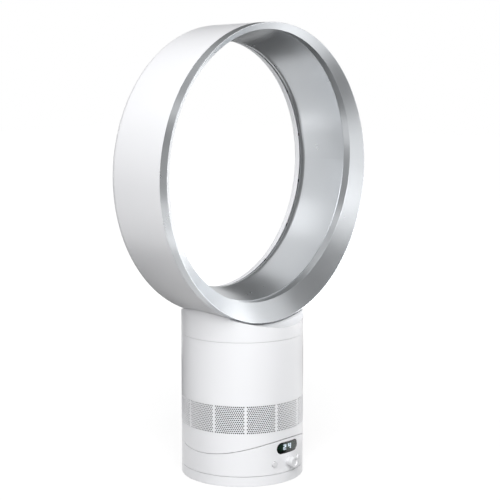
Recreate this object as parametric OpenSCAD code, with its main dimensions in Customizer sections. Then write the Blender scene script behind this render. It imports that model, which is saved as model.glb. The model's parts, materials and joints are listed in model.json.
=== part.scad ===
// Desk fan without visible blades: a round air loop on a cylindrical base.
// The origin is the centre of the foot's underside, +Z is up and the fan blows towards -Y.

/* [Base] */
// Diameter of the base, the fan body and the neck
base_d = 149.6; // [144:0.2:160]
// Thickness of the moulded walls of the base
base_wall = 2.5; // [2:0.1:2.8]
// Height of the foot, from the table to the swing seam
foot_h = 12.3; // [12.3:0.1:15]
// Height of the control section at its sides, where the tilt seam is lowest
control_h = 25; // [24:0.1:30]
// Height of the fan body, from the lowest line of the tilt seam to the head seam
body_h = 137.6; // [134:0.2:150]
// Height from the head seam to the lowest point of the loop
neck_h = 17.2; // [15:0.2:24]
// Width of the seams between the foot, the control section and the fan body
seam_gap = 0.6; // [0.5:0.05:0.8]
// Width of the fixed seam between the fan body and the head
head_gap = 0.3; // [0.2:0.05:0.5]

/* [Tilt] */
// Radius of the curved tilt seam about the tilt axis
tilt_r = 180.8; // [170:0.2:200]
// Largest tilt each way, in degrees
tilt_max = 10; // [6:1:11]

/* [Loop] */
// Outer diameter of the loop at its front edge
loop_d = 356; // [344:1:370]
// How far the loop's front edge stands forward of the base's axis
loop_front = 49.4; // [47:0.1:52]
// How far the loop's rear edge stands behind the base's axis
loop_rear = 46; // [44.5:0.1:50]
// Width of the silver band round the front edge
band_w = 11.3; // [9:0.1:13]
// How much smaller the loop's radius is at its rear than at the band
loop_taper = 2.6; // [1:0.1:3]
// Radius of the rounded outer rear edge
rear_round = 10; // [8:0.5:11]
// Thickness of the loop's moulded walls
loop_wall = 2.5; // [2:0.1:2.8]

/* [Opening] */
// Radial width of the loop from its outer edge to the throat, at its sides
ring_w = 29.2; // [28:0.1:33]
// How far the opening's centre sits above the loop's centre
opening_rise = 7; // [3:0.5:8]
// How far behind the base's axis the throat lies
throat_back = 25.9; // [24:0.1:27]
// Radius of the rounded guide surface that leads from the slot to the throat
guide_r = 14; // [13.5:0.1:15]
// Angle at which the guide surface widens towards the front, in degrees
diffuser_angle = 14.3; // [13:0.1:15]
// Width of the annular air slot
slot_w = 1.8; // [1.3:0.1:2.2]
// Length of the rear lip, from the rear edge forward to the slot
lip_len = 9.5; // [9:0.1:10]

/* [Front flare] */
// Radial width of the flare from the loop's outer edge to its inner edge, at its sides
flare_w = 15.5; // [15:0.1:16]
// How far the flare's inner circle sits above the loop's centre
flare_rise = 7.5; // [7:0.1:8]
// How far the flare's inner circle lies behind the front edge
flare_depth = 11.5; // [11:0.1:12]
// Lean of the flare's inner circle, its top forward, in degrees
flare_tilt = 1.8; // [1.5:0.1:1.9]
// Half angle of the flare's cone, in degrees
flare_angle = 51.3; // [50:0.1:52]
// Width of the straight step between the flare and the guide surface
step_w = 10; // [8:0.1:11]

/* [Intake grille] */
// Number of perforated panels round the fan body
panel_count = 12; // [10:1:14]
// Height of the perforated panels
panel_h = 35; // [30:0.5:38]
// Height of the panels' centre above the lowest line of the tilt seam
panel_rise = 44.1; // [42:0.1:48]
// Width of the plain strip between two panels
strip_w = 2.2; // [2:0.1:4]
// Diameter of the intake holes
hole_d = 3.2; // [2:0.1:3.6]
// Rows of intake holes on a panel
hole_rows = 6; // [4:1:7]
// Intake holes in a full row
hole_cols = 6; // [4:1:6]

/* [Controls] */
// Width of the display window across its round ends
display_w = 37.4; // [34:0.2:40]
// Height of the display window
display_h = 14.2; // [12:0.1:15]
// Height of the display's centre above the swing seam, as a share of the front's height between the seams
display_share = 0.733; // [0.72:0.001:0.745]
// Diameter of the dial's knob
dial_d = 13.6; // [12:0.1:15]
// How far the dial's knob stands out of the wall
dial_out = 11; // [9:0.1:14]
// Height of the dial's axis above the swing seam, as a share of the front's height between the seams
dial_share = 0.3155; // [0.3:0.0005:0.32]
// Diameter of the two push buttons
button_d = 6.4; // [5:0.1:8]
// Distance of each push button from the middle
button_x = 22; // [19:0.1:26]
// How far the buttons stand out of the wall
button_out = 1.4; // [1.3:0.1:2]
// Travel of the push buttons
button_travel = 1.2; // [0.8:0.1:1.2]

/* [Fan unit] */
// Width of the space between the body's wall and the impeller's shroud
casing_gap = 16.8; // [15:0.1:18]
// Radius of the air inlet as a share of the shroud's radius
inlet_share = 0.64; // [0.6:0.01:0.7]
// Axial height of the impeller's blades
impeller_h = 22; // [18:0.5:24]
// Number of impeller blades
blade_count = 9; // [7:1:11]
// Number of fixed vanes above the impeller
vane_count = 8; // [6:1:10]
// Radius of the motor bucket as a share of the shroud's radius
bucket_share = 0.54; // [0.5:0.01:0.58]
// Height of the motor bucket
bucket_h = 40; // [38:0.5:42]

/* [Swing drive] */
// Teeth of the fixed gear in the foot
gear_teeth = 60; // [56:4:60]
// Teeth of the motor's pinion
pinion_teeth = 15; // [14:1:15]
// Pitch diameter of the fixed gear
gear_d = 60; // [57:0.5:60]
// Largest swing each way, in degrees
swing_max = 45; // [30:5:50]

/* [Hidden] */
$fn = 96;

// Clearances and the overrun of every cut
over = 1;
fit = 0.2;
run = 0.4;
touch = 0.1;
arc_steps = 8;

// Levels and radii of the base
base_r = base_d / 2;
inner_r = base_r - base_wall;
plate_z = foot_h + seam_gap;
saddle_z = foot_h + seam_gap + control_h;
tilt_z = saddle_z + tilt_r;
head_z = saddle_z + body_h;
loop_r = loop_d / 2;
loop_z = head_z + neck_h + loop_r;
front_seam_z = tilt_z - sqrt(pow(tilt_r, 2) - pow(base_r, 2));
front_h = front_seam_z - plate_z;
cradle_r = tilt_r + seam_gap / 2;
keel_r = tilt_r - seam_gap / 2;
beyond = 2 * base_d;

// Foot
pad_t = 1;
pad_w = 12;
pad_inset = 3;
foot_lift = 0.6;
sheet_t = 1.6;
deck_t = 2.5;
sheet_top = pad_t + sheet_t;
deck_z = foot_h - deck_t;
hub_r = 14.5;
hub_bore_r = 11.5;
groove_r = 58;
groove_w = 6;
groove_d = 1.6;
foot_boss_r = 3.5;
foot_screw_r = 1.4;
screw_head_r = 2.7;
screw_head_t = 1;
foot_screw_place = inner_r - foot_boss_r - 5 * touch;
gland_r = 3.3;
gland_bore_r = 2.6;
gland_flange_r = 4;
gland_flange_t = 1.2;
gland_len = 7;
gland_z = (sheet_top + deck_z) / 2;

// Swing drive
gear_t = 3.5;
gear_z = deck_z - gear_t;
gear_module = gear_d / gear_teeth;
gear_r = gear_d / 2;
pinion_r = gear_module * pinion_teeth / 2;
drive_reach = gear_r + pinion_r;
pinion_t = gear_t - 2 * run;
pinion_shaft_r = 2.5;
tooth_play = 0.22;
addendum_share = 0.8;
dedendum_share = 1.25;
pressure_angle = 20;
retainer_t = 1.8;
retainer_w = 4.5;
retainer_z = gear_z - run - retainer_t;
motor_r = 14;
motor_h = 14;
motor_ear_w = 7;
motor_ear_x = 17.5;
motor_ear_t = 1.5;
motor_cap_h = 3;

// Tilt slide
hook_x = 40;
hook_stem_w = 4;
hook_foot_w = 9;
hook_t = 2;
hook_half_angle = 4;
slot_half_angle = tilt_max + hook_half_angle + 1;

// Controls
board_t = 1.6;
board_gap = 14.8;
board_y = -(base_r - board_gap);
board_edge_gap = 3.3;
board_w = 2 * (sqrt(pow(inner_r, 2) - pow(board_y, 2)) - board_edge_gap);
board_h = 24;
board_z = plate_z + base_wall + 1;
pane_t = 2;
digit_w = 4.2;
digit_h = 6.4;
digit_bar = 1;
digit_gap = 4.4;
digit_t = 1.2;
digit_y = -(base_r - pane_t - 2 * fit);
led_board_t = 1.2;
led_board_w = 28;
led_board_h = 7.6;
dial_z = plate_z + dial_share * front_h;
dial_shaft_r = 3;
dial_ring_w = 2.6;
dial_dish = 1.4;
dial_foot_gap = 0.6;
dial_waist = 0.9;
encoder_w = 13;
button_z = dial_z - 0.6;
button_flange_t = 1;
button_flange_w = 1.4;
switch_w = 6;
switch_plunger_r = 1.5;
switch_body_t = 3;
display_z = plate_z + display_share * front_h;

// Intake grille
panel_z = saddle_z + panel_rise - panel_h / 2;
sleeve_t = 1.4;
sleeve_edge = 3;
hole_margin_share = 0.4;
panel_pitch_angle = 360 / panel_count;
strip_angle = strip_w / base_r * 180 / PI;
panel_angle = panel_pitch_angle - strip_angle;

// Fan unit
casing_wall = 2;
tip_gap = 1.5;
shroud_r = inner_r - casing_gap;
impeller_r = shroud_r - tip_gap;
inlet_r = inlet_share * shroud_r;
bucket_r = bucket_share * shroud_r;
bell_r = 12;
impeller_rise = 52;
impeller_z = saddle_z + impeller_rise;
impeller_top = impeller_z + impeller_h;
ledge_t = 2.5;
ledge_w = 3.3;
seal_t = 2;
flange_t = 2.3;
spigot_len = 8;
spigot_wall = 2.5;
spigot_z = head_z + head_gap / 2 - spigot_len;
flange_top = spigot_z - seal_t - 2 * touch;
flange_z = flange_top - flange_t;
ledge_z = flange_z - seal_t - 2 * touch - ledge_t;
hub_in_r = 14;
blade_span = 16;
hub_out_r = impeller_r - blade_span;
hub_nose = 6;
hub_disc_t = 1.5;
shaft_r = 2.5;
blade_t = 1.5;
blade_curve_share = 0.72;
blade_curve_r = blade_curve_share * impeller_r;
bucket_wall = 1.8;
bucket_z = impeller_top + hub_disc_t + 1.2;
bucket_split_share = 0.45;
bucket_split = bucket_z + bucket_h * bucket_split_share;
bucket_dome = 8;
bearing_r = 6.5;
bearing_t = 5;
bearing_low_z = bucket_z + bucket_wall;
driver_room = 9;
bearing_high_z = bucket_z + bucket_h - bearing_t - driver_room;
stator_z = bearing_low_z + bearing_t + 1;
stator_h = bearing_high_z - stator_z - 1;
stator_r = bucket_r - bucket_wall - fit;
stator_slots = 9;
stator_slot_w = 3.4;
stator_yoke = 4;
rotor_share = 0.39;
rotor_r = rotor_share * stator_r;
rotor_gap = 0.6;
vane_ring_t = 1.5;
vane_t = 1.5;
vane_h = 16;
vane_z = bucket_split - vane_h / 2;
vane_lean = 20;
driver_t = 1.6;
driver_z = bearing_high_z + bearing_t + 1.5;
foam_t = 10;
foam_gap = 2;
foam_z = panel_z + panel_h + sleeve_edge + foam_gap;
foam_h = ledge_z - foam_gap - foam_z;

// Loop, measured forward from the base's axis along the loop's own axis
band_f = loop_front - band_w;
tail_r = loop_r - loop_taper;
round_f = -loop_rear + rear_round;
throat_r = loop_r - ring_w;
guide_f = -throat_back;
guide_c = throat_r + guide_r;
guide_end = 72;
lip_f = -loop_rear + lip_len;
lip_wall = 1.5;
lip_in_r = guide_c - sqrt(pow(guide_r, 2) - pow(guide_f - lip_f, 2)) - slot_w - lip_wall;
lip_flare = 0.8;
bore_round = 5;
bore_r = lip_in_r + lip_flare;
rim_r = bore_r + bore_round;
join = 0.5;
flare_r = loop_r - flare_w;
flare_f = loop_front - flare_depth;
flare_len = flare_depth + loop_r * sin(flare_tilt) + over;
skin_back = loop_wall / sin(flare_angle);
gasket_t = 2.2;
gasket_w = 9;
gasket_lap = 2.5;
spacer_count = 16;
spacer_angle = 1.2;
spacer_len = 1.6;
neck_gap = 2.2;
saddle_r = loop_r + neck_gap;
rim_h = 5;

// Arc of n steps about a centre, from one angle to another
function arc(centre, r, from, to, n = arc_steps) =
    [for (i = [0:n]) centre + r * [cos(from + (to - from) * i / n), sin(from + (to - from) * i / n)]];

// Involute gear outline
function unwind(r, base) = r <= base ? 0 : sqrt(pow(r / base, 2) - 1) * 180 / PI - acos(base / r);
function flank(r, pitch, base, teeth) =
    90 / teeth - tooth_play / 2 / pitch * 180 / PI + unwind(pitch, base) - unwind(r, base);
function tooth(i, teeth, radii, pitch, base) = concat(
    [for (r = radii) let (a = 360 * i / teeth - flank(r, pitch, base, teeth)) r * [cos(a), sin(a)]],
    [for (j = [len(radii) - 1:-1:0])
        let (r = radii[j], a = 360 * i / teeth + flank(r, pitch, base, teeth)) r * [cos(a), sin(a)]]
);

module gear_outline(teeth) {
    pitch = gear_module * teeth / 2;
    base = pitch * cos(pressure_angle);
    root = pitch - dedendum_share * gear_module;
    tip = pitch + addendum_share * gear_module;
    low = max(base, root);
    radii = concat(root < base ? [root] : [], [low, pitch, tip]);
    polygon([for (i = [0:teeth - 1]) each tooth(i, teeth, radii, pitch, base)]);
}

module ring(outer, inner, h) {
    difference() {
        cylinder(r = outer, h = h);
        translate([0, 0, -over]) cylinder(r = inner, h = h + 2 * over);
    }
}

// A pin or bore along Y, from one depth to another
module along_y(x, z, r, from, to) {
    translate([x, to, z]) rotate([90, 0, 0]) cylinder(r = r, h = to - from);
}

// Frames of the tilt axis, the loop, the opening and the flare
module about_tilt() { translate([0, 0, tilt_z]) rotate([0, 90, 0]) children(); }
module about_loop() { translate([0, 0, loop_z]) rotate([90, 0, 0]) children(); }
module about_opening() { about_loop() translate([0, opening_rise, 0]) children(); }
module about_flare() {
    about_loop() translate([0, flare_rise, flare_f]) rotate([flare_tilt, 0, 0]) children();
}

// A bar curved about the tilt axis, centred on its lowest line
module tilt_bar(inner, outer, half_angle, x, w) {
    about_tilt() rotate([0, 0, -half_angle]) rotate_extrude(angle = 2 * half_angle)
        translate([inner, x - w / 2]) square([outer - inner, w]);
}

module foot_places() {
    for (i = [0:3]) rotate([0, 0, 45 + 90 * i]) translate([foot_screw_place, 0, 0]) children();
}

module foot_pad() {
    color("dimgray") ring(inner_r - pad_inset, inner_r - pad_inset - pad_w, pad_t);
}

module base_plate() {
    color("silver") difference() {
        translate([0, 0, pad_t]) cylinder(r = inner_r - fit, h = sheet_t);
        foot_places() {
            cylinder(r = foot_screw_r + fit, h = sheet_top + over);
            cylinder(r = screw_head_r + fit, h = pad_t + screw_head_t);
        }
    }
}

module foot_housing() {
    color("white") difference() {
        union() {
            difference() {
                translate([0, 0, foot_lift]) cylinder(r = base_r, h = foot_h - foot_lift);
                translate([0, 0, -over]) cylinder(r = inner_r, h = deck_z + over);
            }
            foot_places() translate([0, 0, sheet_top]) cylinder(r = foot_boss_r, h = deck_z - sheet_top + join);
        }
        cylinder(r = hub_r + run, h = foot_h + over);
        translate([0, 0, foot_h - groove_d]) ring(groove_r + groove_w / 2, groove_r - groove_w / 2, groove_d + over);
        foot_places() cylinder(r = foot_screw_r + touch, h = deck_z - touch);
        rotate([0, 0, 90 - swing_max - run]) rotate_extrude(angle = 2 * swing_max + 2 * run)
            translate([drive_reach - pinion_shaft_r - run, deck_z - over])
            square([2 * pinion_shaft_r + 2 * run, deck_t + 2 * over]);
        for (a = [90 - swing_max - run, 90 + swing_max + run]) rotate([0, 0, a])
            translate([drive_reach, 0, deck_z - over]) cylinder(r = pinion_shaft_r + run, h = deck_t + 2 * over);
        along_y(0, gland_z, gland_r + touch, inner_r - over, base_r + over);
    }
}

module foot_screws() {
    color("gray") foot_places() {
        translate([0, 0, pad_t]) cylinder(r = screw_head_r, h = screw_head_t);
        translate([0, 0, pad_t]) cylinder(r = foot_screw_r, h = deck_z - pad_t - run);
    }
}

module cord_gland() {
    color("dimgray") difference() {
        union() {
            along_y(0, gland_z, gland_r, inner_r - gland_len + base_wall, base_r);
            along_y(0, gland_z, gland_flange_r, base_r + touch, base_r + gland_flange_t);
            along_y(0, gland_z, gland_r, base_r - touch, base_r + gland_flange_t);
        }
        along_y(0, gland_z, gland_bore_r, inner_r - gland_len - over, base_r + gland_flange_t + over);
    }
}

module swing_gear() {
    color("ivory") translate([0, 0, gear_z]) difference() {
        linear_extrude(gear_t) gear_outline(gear_teeth);
        translate([0, 0, -over]) cylinder(r = hub_r + run, h = gear_t + 2 * over);
    }
}

module swing_bearing() {
    color("lightyellow") translate([0, 0, foot_h - groove_d])
        ring(groove_r + groove_w / 2 - fit, groove_r - groove_w / 2 + fit, groove_d + seam_gap / 2);
}

module swing_plate() {
    color("gainsboro") difference() {
        union() {
            translate([0, 0, plate_z]) cylinder(r = inner_r - fit, h = base_wall);
            translate([0, 0, retainer_z]) cylinder(r = hub_r, h = plate_z - retainer_z + join);
        }
        cylinder(r = hub_bore_r, h = plate_z + base_wall + over);
        translate([0, drive_reach, plate_z - over]) cylinder(r = pinion_shaft_r + run, h = base_wall + 2 * over);
    }
}

module swing_retainer() {
    color("dimgray") translate([0, 0, retainer_z]) ring(hub_r + retainer_w, hub_r + touch, retainer_t);
}

module drive_pinion() {
    color("ivory") translate([0, drive_reach, 0]) {
        translate([0, 0, gear_z + run]) rotate([0, 0, 270 + 180 / pinion_teeth])
            linear_extrude(pinion_t) gear_outline(pinion_teeth);
        translate([0, 0, gear_z + run]) cylinder(r = pinion_shaft_r, h = plate_z + base_wall + motor_cap_h - gear_z);
    }
}

module swing_motor() {
    seat = plate_z + base_wall + touch;
    color("silver") translate([0, drive_reach, seat]) difference() {
        union() {
            cylinder(r = motor_r, h = motor_h);
            translate([-motor_ear_x, -motor_ear_w / 2, 0]) cube([2 * motor_ear_x, motor_ear_w, motor_ear_t]);
            for (side = [-1, 1]) translate([side * motor_ear_x, 0, 0]) cylinder(d = motor_ear_w, h = motor_ear_t);
        }
        for (side = [-1, 1]) translate([side * motor_ear_x, 0, -over])
            cylinder(r = foot_screw_r, h = motor_ear_t + 2 * over);
        translate([0, 0, -over]) cylinder(r = pinion_shaft_r + run, h = motor_cap_h + run + over);
    }
}

module pill(w, h) {
    square([w - h, h], center = true);
    for (side = [-1, 1]) translate([side * (w - h) / 2, 0]) circle(d = h);
}

module front_pill(w, h, from, to) {
    translate([0, to, display_z]) rotate([90, 0, 0]) linear_extrude(to - from) pill(w, h);
}

module control_housing() {
    tall = tilt_r / 2;
    color("white") difference() {
        translate([0, 0, plate_z]) cylinder(r = base_r, h = tall);
        about_tilt() cylinder(r = cradle_r, h = beyond, center = true);
        difference() {
            translate([0, 0, plate_z - over]) cylinder(r = inner_r, h = tall);
            about_tilt() cylinder(r = cradle_r + base_wall, h = beyond, center = true);
        }
        cylinder(r = hub_bore_r, h = tall);
        for (side = [-1, 1])
            tilt_bar(cradle_r - over, cradle_r + base_wall + over, slot_half_angle,
                side * hook_x, hook_stem_w + 2 * run);
        front_pill(display_w, display_h, -base_r - over, -inner_r + base_wall);
        along_y(0, dial_z, dial_shaft_r + run, -base_r - over, -inner_r + over);
        for (side = [-1, 1]) along_y(side * button_x, button_z, button_d / 2 + run, -base_r - over, -base_r / 2);
    }
}

module control_board() {
    color("seagreen") difference() {
        translate([-board_w / 2, board_y, board_z]) cube([board_w, board_t, board_h]);
        along_y(0, dial_z, dial_shaft_r + run, board_y - over, board_y + board_t + over);
    }
}

module display_window() {
    color("black") intersection() {
        front_pill(display_w - 2 * touch, display_h - 2 * touch, -base_r - over, -base_r / 2);
        ring(base_r - touch, base_r - pane_t, head_z);
    }
}

module display_board() {
    color("seagreen") translate([-led_board_w / 2, digit_y + digit_t, display_z - led_board_h / 2])
        cube([led_board_w, led_board_t, led_board_h]);
}

// Seven-bar digits, each bar named by its place: two lying across and four standing, with a middle one
module digit(lit) {
    half = digit_h / 2;
    across = [[0, 0], [0, half - digit_bar / 2], [0, digit_h - digit_bar]];
    up = [[0, 0], [digit_w - digit_bar, 0], [0, half], [digit_w - digit_bar, half]];
    for (i = [0:2]) if (lit[i]) translate(across[i]) square([digit_w, digit_bar]);
    for (i = [0:3]) if (lit[3 + i]) translate(up[i]) square([digit_bar, half]);
}

module display_digits() {
    two = [true, true, true, true, false, false, true];
    four = [false, true, false, false, true, true, true];
    color("white") translate([0, digit_y + digit_t - touch, display_z - digit_h / 2]) rotate([90, 0, 0])
        linear_extrude(digit_t - touch) {
            translate([-digit_gap / 2 - digit_w, 0]) digit(two);
            translate([digit_gap / 2, 0]) digit(four);
        }
}

module dial_encoder() {
    from = board_y - encoder_w / 2;
    color("dimgray") difference() {
        translate([-encoder_w / 2, from, dial_z - encoder_w / 2]) cube([encoder_w, -touch + encoder_w / 2, encoder_w]);
        along_y(0, dial_z, dial_shaft_r + run, from - over, board_y + over);
    }
}

module dial_shaft() {
    color("silver") along_y(0, dial_z, dial_shaft_r, -base_r - dial_out / 2, board_y - touch);
}

module dial_knob() {
    knob_r = dial_d / 2;
    depth = dial_out - dial_foot_gap;
    color("whitesmoke") translate([0, -base_r - dial_foot_gap, dial_z]) rotate([90, 0, 0]) rotate_extrude() polygon([
        [dial_shaft_r + touch, 0],
        [knob_r - dial_waist, 0],
        [knob_r - dial_waist, depth / 2],
        [knob_r, depth / 2 + dial_waist],
        [knob_r, depth - dial_waist / 2],
        [knob_r - dial_waist / 2, depth],
        [knob_r - dial_ring_w, depth],
        [knob_r - dial_ring_w - dial_waist, depth - dial_dish],
        [0, depth - dial_dish],
        [0, dial_out / 2 - dial_foot_gap + touch],
        [dial_shaft_r + touch, dial_out / 2 - dial_foot_gap + touch]
    ]);
}

function wall_y(x, r) = -sqrt(pow(r, 2) - pow(x, 2));
button_back = wall_y(button_x + button_d / 2 + button_flange_w, inner_r) + run;

module button_switches() {
    top = board_y - touch;
    plunger = button_back + button_flange_t + button_travel + run;
    color("dimgray") for (side = [-1, 1]) {
        translate([side * button_x - switch_w / 2, top - switch_body_t, button_z - switch_w / 2])
            cube([switch_w, switch_body_t, switch_w]);
        along_y(side * button_x, button_z, switch_plunger_r, plunger, top - touch);
    }
}

module push_button(side) {
    intersection() {
        along_y(side * button_x, button_z, button_d / 2, -base_r - button_out, button_back + button_flange_t);
        cylinder(r = base_r + button_out, h = head_z);
    }
    along_y(side * button_x, button_z, button_d / 2 + button_flange_w, button_back, button_back + button_flange_t);
}

module power_button() {
    color("whitesmoke") push_button(-1);
}

module swing_button() {
    color("whitesmoke") push_button(1);
}

module body_housing() {
    color("white") difference() {
        intersection() {
            cylinder(r = base_r, h = head_z - head_gap / 2);
            about_tilt() cylinder(r = keel_r, h = beyond, center = true);
        }
        difference() {
            cylinder(r = inner_r, h = head_z + over);
            translate([0, 0, ledge_z]) ring(base_r, inner_r - ledge_w, ledge_t);
        }
        for (i = [0:panel_count - 1]) rotate([0, 0, -90 - panel_angle / 2 + panel_pitch_angle * i])
            rotate_extrude(angle = panel_angle) translate([inner_r - over, panel_z])
            square([base_wall + 2 * over, panel_h]);
    }
}

// The staggered holes of one panel, drilled square to the wall
module panel_holes() {
    pitch_a = panel_angle / (hole_cols + hole_margin_share);
    pitch_z = panel_h / (hole_rows + hole_margin_share);
    for (row = [0:hole_rows - 1]) for (col = [0:hole_cols - 1 - row % 2])
        rotate([0, 0, (col - (hole_cols - 1 - row % 2) / 2) * pitch_a])
        translate([inner_r - sleeve_t - over, 0, panel_z + panel_h / 2 + (row - (hole_rows - 1) / 2) * pitch_z])
        rotate([0, 90, 0]) cylinder(d = hole_d, h = base_wall + sleeve_t + 2 * over, $fn = 24);
}

module intake_grille() {
    edge = touch / base_r * 180 / PI;
    color("white") difference() {
        union() {
            translate([0, 0, panel_z - sleeve_edge])
                ring(inner_r - touch, inner_r - touch - sleeve_t, panel_h + 2 * sleeve_edge);
            for (i = [0:panel_count - 1]) rotate([0, 0, -90 - panel_angle / 2 + edge + panel_pitch_angle * i])
                rotate_extrude(angle = panel_angle - 2 * edge) translate([inner_r - sleeve_t, panel_z + touch])
                square([base_wall + sleeve_t, panel_h - 2 * touch]);
        }
        for (i = [0:panel_count - 1]) rotate([0, 0, -90 + panel_pitch_angle * i]) panel_holes();
    }
}

module saddle_plate() {
    plate_r = inner_r - fit;
    color("gainsboro") {
        difference() {
            intersection() {
                cylinder(r = plate_r, h = head_z);
                about_tilt() cylinder(r = keel_r, h = beyond, center = true);
            }
            about_tilt() cylinder(r = keel_r - base_wall, h = beyond, center = true);
            cylinder(r = hub_bore_r, h = head_z);
            translate([0, 0, tilt_z - tilt_r / 2]) cylinder(r = base_r, h = tilt_r + head_z);
        }
        for (side = [-1, 1])
            tilt_bar(keel_r - join, cradle_r + base_wall + run, hook_half_angle, side * hook_x, hook_stem_w);
    }
}

module tilt_retainers() {
    top = cradle_r + base_wall + run + touch;
    color("dimgray") for (side = [-1, 1])
        tilt_bar(top, top + hook_t, hook_half_angle, side * hook_x, hook_foot_w);
}

module impeller_casing() {
    inner = concat(
        arc([inlet_r + bell_r, impeller_z], bell_r, 270, 180),
        [[shroud_r, impeller_top], [shroud_r, flange_top], [inner_r - 2 * fit, flange_top]]
    );
    outer = concat(
        [[inner_r - 2 * fit, flange_z], [shroud_r + casing_wall, flange_z],
            [shroud_r + casing_wall, impeller_top - touch]],
        arc([inlet_r + bell_r, impeller_z], bell_r - casing_wall, 180, 270)
    );
    color("lightgray") rotate_extrude() polygon(concat(inner, outer));
}

module casing_seal() {
    color("black") translate([0, 0, ledge_z + ledge_t + touch])
        ring(inner_r - fit, inner_r - ledge_w - fit, seal_t);
}

module silencer_foam() {
    color("darkslategray") translate([0, 0, foam_z]) ring(inner_r - run, inner_r - run - foam_t, foam_h);
}

// Space swept by the blades, between the hub and the shroud
module blade_space() {
    rotate_extrude() polygon([
        [hub_in_r - over, impeller_z],
        [inlet_r - tip_gap, impeller_z],
        [impeller_r, impeller_top],
        [hub_out_r - over, impeller_top]
    ]);
}

// One backward-curved blade, an arc of a circle through the axis
module blade() {
    intersection() {
        translate([0, blade_curve_r, impeller_z]) ring(blade_curve_r + blade_t, blade_curve_r, impeller_h);
        translate([hub_in_r / 2, 0, impeller_z]) cube([2 * impeller_r, 2 * impeller_r, impeller_h]);
    }
}

module impeller() {
    color("darkgray") difference() {
        union() {
            rotate_extrude() polygon([
                [0, impeller_z - hub_nose], [hub_in_r / 2, impeller_z - hub_nose + hub_disc_t],
                [hub_in_r, impeller_z], [hub_out_r, impeller_top],
                [hub_out_r, impeller_top + hub_disc_t], [0, impeller_top + hub_disc_t]
            ]);
            intersection() {
                blade_space();
                for (i = [0:blade_count - 1]) rotate([0, 0, 360 / blade_count * i]) blade();
            }
        }
        translate([0, 0, impeller_z]) cylinder(r = shaft_r + touch, h = impeller_h + hub_disc_t + over);
    }
}

module motor_shaft() {
    color("silver") translate([0, 0, impeller_z + touch])
        cylinder(r = shaft_r, h = bearing_high_z + bearing_t - impeller_z);
}

module motor_rotor() {
    color("dimgray") translate([0, 0, stator_z]) ring(rotor_r, shaft_r + touch, stator_h);
}

module motor_stator() {
    color("peru") translate([0, 0, stator_z]) difference() {
        ring(stator_r, rotor_r + rotor_gap, stator_h);
        for (i = [0:stator_slots - 1]) rotate([0, 0, 360 / stator_slots * i])
            translate([rotor_r, -stator_slot_w / 2, -over])
            cube([stator_r - stator_yoke - rotor_r, stator_slot_w, stator_h + 2 * over]);
    }
}

module motor_bearings() {
    color("silver") for (z = [bearing_low_z, bearing_high_z]) translate([0, 0, z])
        ring(bearing_r, shaft_r + touch, bearing_t);
}

module bucket_lower() {
    color("gainsboro") difference() {
        translate([0, 0, bucket_z]) cylinder(r = bucket_r, h = bucket_split - bucket_z - touch);
        difference() {
            translate([0, 0, bucket_z + bucket_wall]) cylinder(r = bucket_r - bucket_wall, h = bucket_h);
            translate([0, 0, bucket_z]) cylinder(r = bearing_r + bucket_wall, h = bucket_wall + bearing_t);
        }
        translate([0, 0, bearing_low_z - touch]) cylinder(r = bearing_r + touch, h = bucket_h);
        translate([0, 0, bucket_z - over]) cylinder(r = shaft_r + run, h = bucket_h);
    }
}

module bucket_upper() {
    top = bucket_z + bucket_h;
    roof = bucket_r - bucket_wall;
    color("gainsboro") difference() {
        union() {
            translate([0, 0, bucket_split]) cylinder(r = bucket_r, h = top - bucket_split);
            translate([0, 0, top]) cylinder(r1 = bucket_r, r2 = bucket_r / 2, h = bucket_dome);
        }
        translate([0, 0, bucket_split - over]) cylinder(r = roof, h = bearing_high_z - bucket_split + over);
        translate([0, 0, bearing_high_z - touch]) cylinder(r = bearing_r + touch, h = bearing_t + touch);
        difference() {
            translate([0, 0, bearing_high_z]) cylinder(r = roof, h = top - bearing_high_z);
            translate([0, 0, bearing_high_z]) cylinder(r = bearing_r + bucket_wall, h = bearing_t);
            translate([0, 0, bearing_high_z]) ring(bucket_r, bearing_r, bucket_wall);
        }
        translate([0, 0, top - touch]) cylinder(r1 = roof, r2 = bucket_r / 2 - bucket_wall, h = bucket_dome - bucket_wall);
    }
}

module diffuser_vanes() {
    inside = bucket_r + touch;
    outside = shroud_r - touch;
    color("lightgray") {
        translate([0, 0, vane_z]) ring(inside + vane_ring_t, inside, vane_h);
        translate([0, 0, vane_z]) ring(outside, outside - vane_ring_t, vane_h);
        intersection() {
            translate([0, 0, vane_z]) ring(outside - vane_ring_t / 2, inside + vane_ring_t / 2, vane_h);
            for (i = [0:vane_count - 1]) rotate([0, 0, 360 / vane_count * i])
                translate([0, 0, vane_z + vane_h / 2]) rotate([vane_lean, 0, 0])
                translate([0, -vane_t / 2, -vane_h]) cube([shroud_r, vane_t, 2 * vane_h]);
        }
    }
}

module driver_board() {
    color("seagreen") translate([0, 0, driver_z]) cylinder(r = bucket_r - bucket_wall - run, h = driver_t);
}

// Outer wall and rear wall of the loop, in one section
module shell_section() {
    polygon(concat(
        [[loop_r, band_f]],
        arc([tail_r - rear_round, round_f], rear_round, 0, -90),
        [[throat_r - lip_len, -loop_rear], [throat_r - lip_len, -loop_rear + loop_wall]],
        arc([tail_r - rear_round, round_f], rear_round - loop_wall, -90, 0),
        [[loop_r - loop_wall, band_f]]
    ));
}

// Rounded mouth and forward lip of the rear opening, about the opening's axis
module lip_section() {
    polygon(concat(
        [[lip_in_r, lip_f]],
        arc([rim_r, -loop_rear + bore_round], bore_round, 180, 270),
        [[rim_r + join, -loop_rear], [rim_r + join, -loop_rear + loop_wall], [rim_r, -loop_rear + loop_wall],
            [bore_r + lip_wall, -loop_rear + bore_round], [lip_in_r + lip_wall, lip_f]]
    ));
}

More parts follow.
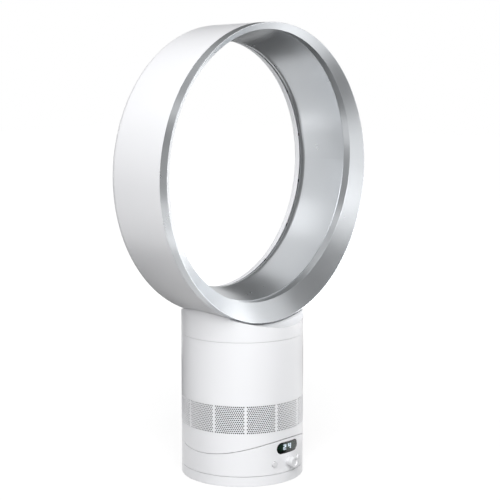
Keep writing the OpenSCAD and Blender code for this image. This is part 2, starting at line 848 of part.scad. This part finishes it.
// Everything inside the loop's outer surface, grown by a clearance
module loop_envelope(grow) {
    about_loop() rotate_extrude() polygon(concat(
        [[0, band_f], [loop_r + grow, band_f]],
        arc([tail_r - rear_round, round_f], rear_round + grow, 0, -90),
        [[0, -loop_rear - grow]]
    ));
}

module neck_space() {
    top = head_z + head_gap / 2;
    difference() {
        union() {
            translate([0, 0, spigot_z - over]) cylinder(r = inner_r - fit - spigot_wall, h = spigot_len + rim_h + over);
            translate([0, 0, top + rim_h]) cylinder(r = inner_r, h = neck_h + loop_r / 4);
        }
        about_loop() translate([0, 0, band_f - loop_wall]) cylinder(r = saddle_r + loop_wall, h = base_d);
        about_loop() translate([0, 0, round_f + loop_wall - base_d]) cylinder(r = tail_r + loop_wall, h = base_d);
    }
}

module loop_outer_shell() {
    color("white") difference() {
        union() {
            difference() {
                about_loop() rotate_extrude() shell_section();
                about_opening() translate([0, 0, -loop_rear - over]) cylinder(r = rim_r, h = loop_wall + 2 * over);
            }
            about_opening() rotate_extrude() lip_section();
        }
        neck_space();
    }
}

// Collar that joins the loop to the base, with a front shoulder along the flare and a spigot below
module neck_collar() {
    color("white") difference() {
        union() {
            translate([0, 0, head_z + head_gap / 2]) cylinder(r = base_r, h = neck_h + loop_r / 3);
            translate([0, 0, spigot_z]) cylinder(r = inner_r - fit, h = spigot_len + over);
        }
        loop_envelope(touch);
        about_loop() translate([0, 0, band_f - touch]) cylinder(r = saddle_r, h = base_d);
        about_loop() translate([0, 0, round_f - base_d]) cylinder(r = tail_r + touch, h = base_d);
        neck_space();
    }
}

module loop_front_ring() {
    back_len = flare_len + skin_back;
    widen = tan(flare_angle);
    bend = step_w + loop_wall / widen - skin_back;
    color("silver") difference() {
        intersection() {
            about_loop() cylinder(r = loop_r, h = loop_front);
            union() {
                about_loop() translate([0, 0, band_f + touch]) ring(loop_r, loop_r - loop_wall, band_w);
                about_flare() rotate_extrude() polygon([
                    [0, -step_w], [flare_r + loop_wall, -step_w], [flare_r + loop_wall, bend - step_w],
                    [flare_r + back_len * widen, back_len - skin_back], [0, back_len - skin_back]
                ]);
            }
        }
        about_flare() rotate_extrude() polygon([
            [0, -step_w - over], [flare_r, -step_w - over], [flare_r, 0],
            [flare_r + back_len * widen, back_len], [0, back_len]
        ]);
    }
}

module loop_inner_shell() {
    turn = diffuser_angle;
    start = guide_c - guide_r * cos(turn);
    start_f = guide_f + guide_r * sin(turn);
    back = guide_c - (guide_r - loop_wall) * cos(turn);
    back_f = guide_f + (guide_r - loop_wall) * sin(turn);
    front_f = flare_f;
    color("silver") difference() {
        about_opening() rotate_extrude() polygon(concat(
            [[start + (front_f - start_f) * tan(turn), front_f]],
            arc([guide_c, guide_f], guide_r, 180 - turn, 180 + guide_end),
            arc([guide_c, guide_f], guide_r - loop_wall, 180 + guide_end, 180 - turn),
            [[back + (front_f - back_f) * tan(turn), front_f]]
        ));
        about_flare() translate([0, 0, -step_w - touch]) cylinder(r = loop_r, h = loop_front);
    }
}

function guide_at(f) = guide_c - sqrt(pow(guide_r, 2) - pow(guide_f - f, 2));

module slot_spacers() {
    from = lip_f - touch;
    to = from - spacer_len;
    lip_slope = lip_flare / (lip_len - bore_round);
    color("gray") about_opening() for (i = [0:spacer_count - 1])
        rotate([0, 0, 360 / spacer_count * (i + 0.5) - spacer_angle / 2]) rotate_extrude(angle = spacer_angle) polygon([
            [lip_in_r + lip_wall + touch, from],
            [lip_in_r + lip_wall + touch + lip_slope * (spacer_len + touch), to],
            [guide_at(to) - touch, to],
            [guide_at(from) - touch, from]
        ]);
}

module loop_gasket() {
    color("dimgray") about_loop() translate([0, 0, band_f + gasket_lap - gasket_w])
        ring(loop_r - loop_wall - 2 * fit, loop_r - loop_wall - 2 * fit - gasket_t, gasket_w);
}

module neck_seal() {
    color("black") translate([0, 0, flange_top + touch])
        ring(inner_r - 2 * fit, inner_r - fit - spigot_wall - 2 * fit, seal_t);
}

foot_pad();
base_plate();
foot_housing();
foot_screws();
cord_gland();
swing_gear();
swing_bearing();
swing_plate();
swing_retainer();
control_housing();
swing_motor();
drive_pinion();
control_board();
display_window();
display_board();
display_digits();
dial_encoder();
dial_shaft();
dial_knob();
button_switches();
power_button();
swing_button();
body_housing();
intake_grille();
saddle_plate();
tilt_retainers();
impeller_casing();
casing_seal();
silencer_foam();
impeller();
motor_shaft();
motor_rotor();
motor_stator();
motor_bearings();
bucket_lower();
bucket_upper();
diffuser_vanes();
driver_board();
neck_collar();
loop_outer_shell();
loop_front_ring();
loop_inner_shell();
slot_spacers();
loop_gasket();
neck_seal();
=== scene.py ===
"""Looks of the bladeless desk fan: finishes, fine grille, studio light and camera."""

import json
import math
from functools import partial

import bmesh
import bpy
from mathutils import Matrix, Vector


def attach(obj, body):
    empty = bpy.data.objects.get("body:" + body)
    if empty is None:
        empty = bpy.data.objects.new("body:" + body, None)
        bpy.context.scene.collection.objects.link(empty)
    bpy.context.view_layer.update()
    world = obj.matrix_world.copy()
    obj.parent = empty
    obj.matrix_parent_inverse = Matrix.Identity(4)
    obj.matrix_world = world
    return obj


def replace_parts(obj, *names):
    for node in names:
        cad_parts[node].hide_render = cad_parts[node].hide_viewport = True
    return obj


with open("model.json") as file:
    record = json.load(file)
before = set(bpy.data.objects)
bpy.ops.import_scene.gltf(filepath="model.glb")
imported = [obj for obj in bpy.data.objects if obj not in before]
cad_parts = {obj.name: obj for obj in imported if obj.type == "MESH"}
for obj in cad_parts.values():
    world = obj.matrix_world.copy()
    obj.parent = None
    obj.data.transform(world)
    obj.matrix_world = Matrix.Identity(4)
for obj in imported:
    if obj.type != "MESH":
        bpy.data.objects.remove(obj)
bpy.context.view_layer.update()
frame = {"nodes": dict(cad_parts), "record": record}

MM = 0.001

# Camera, as fitted to the photograph: place in metres, turn and pitch in degrees, lens and shifts
CAMERA_PLACE = (-1.2614, -1.1344, 0.5169)
CAMERA_TURN = -48.03
CAMERA_PITCH = -8.38
SENSOR = 36.0
LENS = 101.41
SHIFT_X = 0.0156
SHIFT_Y = 0.0137

# Fine intake grille in millimetres: windows as in the part, holes as in the photograph
BASE_R = 74.8
PANELS = 12
PANEL_LOW = 64.5
PANEL_HIGH = 99.5
STRIP_W = 2.2
SKIN_T = 0.5
LINER_IN = 70.9
HOLE_ROWS = 15
HOLE_COLS = 15
HOLE_PITCH_Z = 2.26
HOLE_D = 1.8
HOLE_SIDES = 12
SHARP_ANGLE = math.radians(30.0)

# Angles that one panel and its window take up round the base
PANEL_TURN = math.tau / PANELS
WINDOW_TURN = PANEL_TURN - STRIP_W / BASE_R

# Floor and background: diffuse grey, glow near the object, radii of its fade to white, fill light
FLOOR_SIZE = 12.0
FLOOR_GREY = 0.22
FLOOR_LIFT = 0.81
FLOOR_FADE = (0.2, 1.5)
WORLD_STRENGTH = 0.06

# The point that lamps and flags face
TARGET = Vector((0.0, 0.0, 0.3))

# Soft boxes: name, direction (azimuth from the front, elevation), distance, size, watts
SOFT_BOXES = [
    ("key_low", (-46.0, 18.0), 2.4, (1.4, 1.0), 36.0),
    ("key_front", (-50.0, 34.0), 2.4, (1.6, 1.2), 28.2),
    ("key_high", (-50.0, 64.0), 2.4, (1.6, 1.4), 6.2),
    ("top", (-10.0, 80.0), 2.2, (1.0, 1.0), 12.0),
    ("right_side", (93.0, 2.0), 1.7, (1.4, 1.6), 11.2),
    ("right_low", (70.0, -10.0), 1.1, (1.1, 0.2), 3.6),
    ("left_high", (-110.0, 46.0), 2.4, (1.5, 1.2), 4.4),
    ("back", (-175.0, 5.0), 2.1, (0.5, 1.0), 20.0),
]

# Soft boxes that shiny parts don't reflect
UNREFLECTED = ("back",)

# Black flags beside the picture, which the shiny parts reflect: direction, distance, size
FLAGS = [
    ((128.0, 38.0), 1.7, (1.3, 1.3)),
    ((17.0, 41.0), 1.5, (1.3, 1.0)),
    ((-143.0, 6.0), 1.5, (0.9, 1.5)),
    ((178.0, 22.0), 1.7, (1.9, 2.0)),
]

# Black cards that lie on the floor: place and size
FLOOR_CARDS = [
    ((-0.04, -0.56), (0.5, 0.4)),
    ((0.02, -0.2), (0.13, 0.08)),
    ((0.07, -0.31), (0.17, 0.14)),
    ((0.45, 0.4), (0.55, 0.5)),
    ((-0.05, 0.62), (0.5, 0.66)),
    ((-0.1, 1.75), (1.5, 1.6)),
    ((1.25, 1.0), (0.8, 0.7)),
]

# Lit cards on the floor, which the window, the flare and the guide reflect: place and size
GLOW_CARDS = [
    ((0.38, -0.17), (0.42, 0.3)),
    ((-0.45, 0.17), (0.18, 0.4)),
]
CARD_GLOW = 2.0
CARD_LIFT = 0.004

# Relief heights and edge radii of the finishes, in metres
PEEL_DEPTH = 0.0000008
FLAKE_DEPTH = 0.000003
SPARK_DEPTH = 0.00002
RUBBER_DEPTH = 0.00003
FOAM_DEPTH = 0.0006
METAL_LINE_DEPTH = 0.000008
WIRE_DEPTH = 0.0002
SHELL_EDGE = 0.0005
PAINT_EDGE = 0.0004
PLASTIC_EDGE = 0.0003
BEVEL_RAYS = 4
METAL_STRETCH = (1.0, 40.0, 40.0)


# Materials


def new_material(name, color, **values):
    """A Principled material, its plain values set on the shader's own sockets."""
    material = bpy.data.materials.new(name)
    material.use_nodes = True
    shader = material.node_tree.nodes["Principled BSDF"]
    shader.inputs["Base Color"].default_value = (*color, 1.0)
    for key, value in values.items():
        shader.inputs[key.replace("_", " ")].default_value = value
    return material, shader


def add_node(material, kind, **values):
    node = material.node_tree.nodes.new(kind)
    for key, value in values.items():
        if key in node.inputs:
            node.inputs[key].default_value = value
        else:
            setattr(node, key, value)
    return node


def link(material, out, into):
    material.node_tree.links.new(out, into)


def place_texture(material, kind="ShaderNodeTexNoise", **values):
    """A procedural texture in the object's own metres."""
    where = add_node(material, "ShaderNodeTexCoord")
    texture = add_node(material, kind, **values)
    link(material, where.outputs["Object"], texture.inputs["Vector"])
    return texture


def vary_roughness(material, shader, texture, low, high):
    spread = add_node(material, "ShaderNodeMapRange")
    spread.inputs["To Min"].default_value = low
    spread.inputs["To Max"].default_value = high
    link(material, texture.outputs[0], spread.inputs["Value"])
    link(material, spread.outputs["Result"], shader.inputs["Roughness"])


def vary_color(material, shader, texture, low, high):
    ramp = add_node(material, "ShaderNodeMix", data_type="RGBA")
    ramp.inputs["A"].default_value = (*low, 1.0)
    ramp.inputs["B"].default_value = (*high, 1.0)
    link(material, texture.outputs[0], ramp.inputs["Factor"])
    link(material, ramp.outputs["Result"], shader.inputs["Base Color"])


def relief(material, shader, texture, height, edge=0.0):
    """Fine surface relief, on edges that are softened by a radius in metres."""
    bump = add_node(material, "ShaderNodeBump")
    bump.inputs["Distance"].default_value = height
    link(material, texture.outputs[0], bump.inputs["Height"])
    if edge:
        soft = add_node(material, "ShaderNodeBevel", samples=BEVEL_RAYS)
        soft.inputs["Radius"].default_value = edge
        link(material, soft.outputs["Normal"], bump.inputs["Normal"])
    link(material, bump.outputs["Normal"], shader.inputs["Normal"])


def shell_plastic(name, color, roughness, edge):
    """Moulded gloss plastic with a faint orange peel."""
    material, shader = new_material(name, color, Roughness=roughness, IOR=1.47)
    peel = place_texture(material, Scale=1400.0, Detail=1.0)
    relief(material, shader, peel, PEEL_DEPTH, edge)
    cloud = place_texture(material, Scale=9.0, Detail=1.0)
    vary_roughness(material, shader, cloud, roughness * 0.96, roughness * 1.04)
    return material


def silver_paint(name, color):
    """Satin metallic paint with fine flakes."""
    material, shader = new_material(name, color, Metallic=0.8, Roughness=0.28, IOR=1.5)
    flakes = place_texture(material, "ShaderNodeTexVoronoi", Scale=5200.0)
    dark = tuple(c * 0.95 for c in color)
    light = tuple(min(1.0, c * 1.05) for c in color)
    vary_color(material, shader, flakes, dark, light)
    cloud = place_texture(material, Scale=60.0, Detail=3.0)
    vary_roughness(material, shader, cloud, 0.26, 0.31)
    grain = place_texture(material, Scale=2600.0, Detail=1.0)
    relief(material, shader, grain, FLAKE_DEPTH, PAINT_EDGE)
    return material


def matt_plastic(name, color, roughness):
    """Sparked, slightly grainy moulded plastic."""
    material, shader = new_material(name, color, Roughness=roughness)
    grain = place_texture(material, Scale=2200.0, Detail=3.0)
    relief(material, shader, grain, SPARK_DEPTH, PLASTIC_EDGE)
    vary_roughness(material, shader, grain, roughness - 0.08, roughness + 0.08)
    return material


def sheet_metal(name, color, roughness):
    """Drawn or ground metal with fine lines."""
    material, shader = new_material(name, color, Metallic=1.0, Roughness=roughness)
    where = add_node(material, "ShaderNodeTexCoord")
    stretch = add_node(material, "ShaderNodeMapping")
    stretch.inputs["Scale"].default_value = METAL_STRETCH
    lines = add_node(material, "ShaderNodeTexNoise", Scale=60.0, Detail=4.0)
    link(material, where.outputs["Object"], stretch.inputs["Vector"])
    link(material, stretch.outputs["Vector"], lines.inputs["Vector"])
    vary_roughness(material, shader, lines, roughness * 0.8, roughness * 1.25)
    relief(material, shader, lines, METAL_LINE_DEPTH)
    return material


def soft_rubber(name, color):
    material, shader = new_material(name, color, Roughness=0.8)
    grain = place_texture(material, Scale=1500.0, Detail=4.0)
    relief(material, shader, grain, RUBBER_DEPTH, PAINT_EDGE)
    vary_roughness(material, shader, grain, 0.72, 0.9)
    return material


def open_foam(name, color):
    material, shader = new_material(name, color, Roughness=1.0)
    cells = place_texture(material, "ShaderNodeTexVoronoi", Scale=700.0)
    # Painted shade: the colour goes darker in the pits of the cells, where the relief sinks
    vary_color(material, shader, cells, tuple(c * 0.3 for c in color), color)
    relief(material, shader, cells, FOAM_DEPTH)
    return material


def circuit_board(name, color):
    """Solder mask with a faint pattern of tracks."""
    material, shader = new_material(name, color, Roughness=0.35)
    tracks = place_texture(material, "ShaderNodeTexBrick", Scale=160.0)
    tracks.inputs["Mortar Size"].default_value = 0.03
    vary_color(material, shader, tracks, tuple(min(1, c * 1.6) for c in color), color)
    return material


def winding(name, color):
    """Enamelled wire, wound in fine rings, with painted shade in the grooves between the turns."""
    material, shader = new_material(name, color, Metallic=0.7, Roughness=0.35)
    rings = place_texture(
        material, "ShaderNodeTexWave", Scale=420.0, Distortion=1.5, bands_direction="Z"
    )
    # Painted shade: the colour goes darker where the rings sink into grooves
    vary_color(material, shader, rings, tuple(c * 0.45 for c in color), color)
    relief(material, shader, rings, WIRE_DEPTH)
    return material


def smoked_window(name):
    """Smoked clear plastic, which the lit digits shine through."""
    material, shader = new_material(name, (0.3, 0.31, 0.33), IOR=1.5)
    shader.inputs["Transmission Weight"].default_value = 1.0
    grain = place_texture(material, Scale=300.0, Detail=1.0)
    vary_roughness(material, shader, grain, 0.02, 0.05)
    return material


def lit_digit(name):
    material, shader = new_material(name, (0.9, 0.95, 1.0), Roughness=0.4)
    shader.inputs["Emission Color"].default_value = (0.85, 0.93, 1.0, 1.0)
    shader.inputs["Emission Strength"].default_value = 2.2
    glow = place_texture(material, Scale=500.0, Detail=1.0)
    vary_roughness(material, shader, glow, 0.35, 0.45)
    return material


MATERIALS = {
    "white_shell": shell_plastic("white_shell", (0.835, 0.84, 0.86), 0.28, SHELL_EDGE),
    "silver_plastic": silver_paint("silver_plastic", (0.553, 0.572, 0.592)),
    "light_knob": shell_plastic("light_knob", (0.74, 0.745, 0.76), 0.22, PLASTIC_EDGE),
    "dark_window": smoked_window("dark_window"),
    "display_light": lit_digit("display_light"),
    "dark_plastic": matt_plastic("dark_plastic", (0.03, 0.03, 0.033), 0.6),
    "grey_plastic": matt_plastic("grey_plastic", (0.2, 0.205, 0.21), 0.5),
    "nylon": matt_plastic("nylon", (0.75, 0.74, 0.68), 0.45),
    "soft_rubber": soft_rubber("soft_rubber", (0.02, 0.02, 0.022)),
    "foam": open_foam("foam", (0.05, 0.05, 0.055)),
    "circuit_board": circuit_board("circuit_board", (0.01, 0.12, 0.045)),
    "zinc_sheet": sheet_metal("zinc_sheet", (0.6, 0.61, 0.63), 0.35),
    "steel": sheet_metal("steel", (0.62, 0.62, 0.63), 0.22),
    "copper_winding": winding("copper_winding", (0.55, 0.22, 0.09)),
}


def dress(thing, slot_name):
    thing.data.materials.clear()
    thing.data.materials.append(MATERIALS[slot_name])


def dress_frame():
    for entry in frame["record"]["subparts"]:
        dress(frame["nodes"][entry["node"]], entry["material_slot"])


# Fine intake grille


def on_wall(angle, height, radius):
    """A point on the cylinder; angle 0 is the front."""
    return Vector((radius * math.sin(angle), -radius * math.cos(angle), height)) * MM


class GrillePanel:
    """One perforated panel: a curved skin with open round holes, closed by an inner face and a rim.

    Points lie on lines between the rows, two to a column, so that staggered rows share them.
    """

    def __init__(self, bm, middle, width):
        self.bm = bm
        self.left = middle - width / 2
        self.half_cell = width / HOLE_COLS / 2
        self.lines = self.row_lines()
        self.points = {}

    @staticmethod
    def row_lines():
        low = (PANEL_LOW + PANEL_HIGH - HOLE_ROWS * HOLE_PITCH_Z) / 2
        rows = [low + row * HOLE_PITCH_Z for row in range(HOLE_ROWS + 1)]
        return [PANEL_LOW] + rows + [PANEL_HIGH]

    def point(self, key, angle, height, depth):
        if (key, depth) not in self.points:
            self.points[key, depth] = self.bm.verts.new(on_wall(angle, height, BASE_R - depth))
        return self.points[key, depth]

    def corner(self, half, line, depth):
        angle = self.left + half * self.half_cell
        return self.point(("corner", half, line), angle, self.lines[line], depth)

    def hole_point(self, half, line, k, depth):
        turn = math.tau * (k / HOLE_SIDES - 0.25)
        angle = self.left + half * self.half_cell + HOLE_D / 2 / BASE_R * math.cos(turn)
        height = (self.lines[line] + self.lines[line + 1]) / 2 + HOLE_D / 2 * math.sin(turn)
        return self.point(("hole", half, line, k % HOLE_SIDES), angle, height, depth)

    def both_faces(self, corners):
        """The same face on the skin's outside and, turned over, on its inside."""
        self.bm.faces.new([corner(0.0) for corner in corners])
        self.bm.faces.new([corner(SKIN_T) for corner in reversed(corners)])

    def wall(self, first, second):
        self.bm.faces.new([first(0.0), second(0.0), second(SKIN_T), first(SKIN_T)])

    def at(self, half, line):
        return partial(self.corner, half, line)

    def plain(self, half, line):
        square = [(0, 0), (1, 0), (1, 1), (0, 1)]
        self.both_faces([self.at(half + side, line + up) for side, up in square])

    def cell(self, half, line):
        """A cell with a hole in its middle; half is the half column of that middle."""
        round_cell = [(0, 0), (1, 0), (1, 1), (0, 1), (-1, 1), (-1, 0)]
        border = [self.at(half + side, line + up) for side, up in round_cell]
        step = HOLE_SIDES // len(border)
        rim = [partial(self.hole_point, half, line, k) for k in range(HOLE_SIDES + 1)]
        for i, corner in enumerate(border):
            following = border[(i + 1) % len(border)]
            inside = rim[i * step : (i + 1) * step + 1]
            self.both_faces([corner, following] + inside[::-1])
        for first, second in zip(rim, rim[1:]):
            self.wall(first, second)

    def edge(self, places):
        for first, second in zip(places, places[1:]):
            self.wall(self.at(*second), self.at(*first))

    def build(self):
        halves = 2 * HOLE_COLS
        top = len(self.lines) - 1
        for row in range(HOLE_ROWS):
            short = row % 2
            for column in range(HOLE_COLS - short):
                self.cell(2 * column + 1 + short, row + 1)
            if short:
                self.plain(0, row + 1)
                self.plain(halves - 1, row + 1)
        for half in range(halves):
            self.plain(half, 0)
            self.plain(half, top - 1)
        self.edge([(half, 0) for half in range(halves + 1)])
        self.edge([(halves, line) for line in range(top + 1)])
        self.edge([(half, top) for half in range(halves, -1, -1)])
        self.edge([(0, line) for line in range(top, -1, -1)])


def mesh_piece(name, bm, slot_name, body):
    """A finished mesh as a piece that rides on a body, smooth except at its sharp edges."""
    mesh = bpy.data.meshes.new(name)
    bm.to_mesh(mesh)
    bm.free()
    mesh.shade_smooth()
    mesh.set_sharp_from_angle(angle=SHARP_ANGLE)
    piece = bpy.data.objects.new(name, mesh)
    bpy.context.scene.collection.objects.link(piece)
    dress(piece, slot_name)
    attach(piece, body)
    return piece


def panel_middles():
    return [i * PANEL_TURN for i in range(PANELS)]


def fine_grille():
    bm = bmesh.new()
    for middle in panel_middles():
        GrillePanel(bm, middle, WINDOW_TURN).build()
    return mesh_piece("grille_skin", bm, "white_shell", "fan_body")


def grille_liner():
    """Dark dust screens that fill the windows behind the perforated skin."""
    outside = BASE_R - SKIN_T
    section = [
        (outside, PANEL_LOW),
        (LINER_IN, PANEL_LOW),
        (LINER_IN, PANEL_HIGH),
        (outside, PANEL_HIGH),
    ]
    steps = 2 * HOLE_COLS
    bm = bmesh.new()
    for middle in panel_middles():
        cuts = []
        for i in range(steps + 1):
            angle = middle + WINDOW_TURN * (i / steps - 0.5)
            cuts.append([bm.verts.new(on_wall(angle, height, radius)) for radius, height in section])
        for first, second in zip(cuts, cuts[1:]):
            for k in range(len(section)):
                bm.faces.new([first[k - 1], first[k], second[k], second[k - 1]])
        bm.faces.new(cuts[0][::-1])
        bm.faces.new(cuts[-1])
    return mesh_piece("grille_liner", bm, "dark_plastic", "fan_body")


# Studio


def empty_tree(owner):
    """The node tree of a new material or world, without its first nodes."""
    owner.use_nodes = True
    owner.node_tree.nodes.clear()
    return owner.node_tree


def stage_floor():
    bpy.ops.mesh.primitive_plane_add(size=FLOOR_SIZE, location=(0, 0, 0))
    floor = bpy.context.object
    floor.name = "floor"
    material = bpy.data.materials.new("pale_floor")
    tree = empty_tree(material)
    out = tree.nodes.new("ShaderNodeOutputMaterial")
    matt = tree.nodes.new("ShaderNodeBsdfDiffuse")
    matt.inputs["Color"].default_value = (FLOOR_GREY, FLOOR_GREY, FLOOR_GREY, 1.0)
    lift = tree.nodes.new("ShaderNodeEmission")
    tree.links.new(floor_lift(tree), lift.inputs["Strength"])
    seen = tree.nodes.new("ShaderNodeAddShader")
    tree.links.new(matt.outputs[0], seen.inputs[0])
    tree.links.new(lift.outputs[0], seen.inputs[1])
    mix = tree.nodes.new("ShaderNodeMixShader")
    tree.links.new(shown_rays(tree), mix.inputs[0])
    tree.links.new(matt.outputs[0], mix.inputs[1])
    tree.links.new(seen.outputs[0], mix.inputs[2])
    tree.links.new(mix.outputs[0], out.inputs["Surface"])
    floor.data.materials.append(material)


def floor_lift(tree):
    """Glow of the floor as it is seen: weaker near the object, so that its shadow shows."""
    where = tree.nodes.new("ShaderNodeTexCoord")
    reach = tree.nodes.new("ShaderNodeVectorMath")
    reach.operation = "LENGTH"
    fade = tree.nodes.new("ShaderNodeMapRange")
    fade.interpolation_type = "SMOOTHSTEP"
    near, far = FLOOR_FADE
    fade.inputs["From Min"].default_value = near
    fade.inputs["From Max"].default_value = far
    fade.inputs["To Min"].default_value = FLOOR_LIFT
    fade.inputs["To Max"].default_value = 1.0
    tree.links.new(where.outputs["Object"], reach.inputs[0])
    tree.links.new(reach.outputs["Value"], fade.inputs["Value"])
    return fade.outputs["Result"]


def shown_rays(tree):
    """1 for camera, glossy and transmission rays, which see the white background."""
    path = tree.nodes.new("ShaderNodeLightPath")
    first = tree.nodes.new("ShaderNodeMath")
    first.operation = "MAXIMUM"
    second = tree.nodes.new("ShaderNodeMath")
    second.operation = "MAXIMUM"
    tree.links.new(path.outputs["Is Camera Ray"], first.inputs[0])
    tree.links.new(path.outputs["Is Glossy Ray"], first.inputs[1])
    tree.links.new(first.outputs[0], second.inputs[0])
    tree.links.new(path.outputs["Is Transmission Ray"], second.inputs[1])
    return second.outputs[0]


def make_world():
    world = bpy.data.worlds.new("studio")
    bpy.context.scene.world = world
    tree = empty_tree(world)
    out = tree.nodes.new("ShaderNodeOutputWorld")
    shown = tree.nodes.new("ShaderNodeBackground")
    shown.inputs["Color"].default_value = (1.0, 1.0, 1.0, 1.0)
    shown.inputs["Strength"].default_value = 1.0
    fill = tree.nodes.new("ShaderNodeBackground")
    fill.inputs["Color"].default_value = (1.0, 1.0, 1.0, 1.0)
    fill.inputs["Strength"].default_value = WORLD_STRENGTH
    mix = tree.nodes.new("ShaderNodeMixShader")
    tree.links.new(shown_rays(tree), mix.inputs[0])
    tree.links.new(fill.outputs[0], mix.inputs[1])
    tree.links.new(shown.outputs[0], mix.inputs[2])
    tree.links.new(mix.outputs[0], out.inputs["Surface"])


def towards(direction):
    """The unit vector of an azimuth from the front and an elevation, in degrees."""
    azimuth, elevation = (math.radians(v) for v in direction)
    level = math.cos(elevation)
    return Vector((math.sin(azimuth) * level, -math.cos(azimuth) * level, math.sin(elevation)))


def face_target(thing, direction, distance, front):
    """Place a thing in a direction from the target, with its front axis turned to the target."""
    back = towards(direction)
    thing.location = TARGET + back * distance
    thing.rotation_mode = "QUATERNION"
    thing.rotation_quaternion = (-back).to_track_quat(front, "Y")


def reflected_card(size, material):
    """A card that only shiny surfaces see."""
    bpy.ops.mesh.primitive_plane_add(size=1.0)
    card = bpy.context.object
    card.name = "flag"
    card.scale = (*size, 1.0)
    card.data.materials.append(material)
    card.visible_camera = False
    card.visible_diffuse = False
    card.visible_shadow = False
    return card


def floor_card(place, size, material):
    reflected_card(size, material).location = (*place, CARD_LIFT)


def lit_paper():
    material = bpy.data.materials.new("lit_paper")
    tree = empty_tree(material)
    out = tree.nodes.new("ShaderNodeOutputMaterial")
    glow = tree.nodes.new("ShaderNodeEmission")
    glow.inputs["Strength"].default_value = CARD_GLOW
    tree.links.new(glow.outputs[0], out.inputs["Surface"])
    return material


def soft_box(name, direction, distance, size, watts):
    data = bpy.data.lights.new(name, "AREA")
    data.shape = "RECTANGLE"
    data.size, data.size_y = size
    data.energy = watts
    lamp = bpy.data.objects.new(name, data)
    face_target(lamp, direction, distance, "-Z")
    lamp.visible_camera = False
    lamp.visible_glossy = name not in UNREFLECTED
    bpy.context.scene.collection.objects.link(lamp)


def make_camera():
    data = bpy.data.cameras.new("camera")
    data.sensor_width = SENSOR
    data.lens = LENS
    data.shift_x = SHIFT_X
    data.shift_y = SHIFT_Y
    data.clip_start = 0.05
    data.clip_end = 50.0
    camera = bpy.data.objects.new("camera", data)
    camera.location = CAMERA_PLACE
    pitch = math.radians(90 + CAMERA_PITCH)
    camera.rotation_euler = (pitch, 0.0, math.radians(CAMERA_TURN))
    bpy.context.scene.collection.objects.link(camera)
    bpy.context.scene.camera = camera


def make_studio():
    stage_floor()
    make_world()
    cloth = matt_plastic("flag_cloth", (0.01, 0.01, 0.01), 0.9)
    for direction, distance, size in FLAGS:
        face_target(reflected_card(size, cloth), direction, distance, "Z")
    for card in FLOOR_CARDS:
        floor_card(*card, cloth)
    paper = lit_paper()
    for card in GLOW_CARDS:
        floor_card(*card, paper)
    for box in SOFT_BOXES:
        soft_box(*box)
    make_camera()


def main():
    bpy.context.scene.view_settings.view_transform = "Standard"
    dress_frame()
    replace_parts(fine_grille(), "intake_grille")
    grille_liner()
    make_studio()


main()
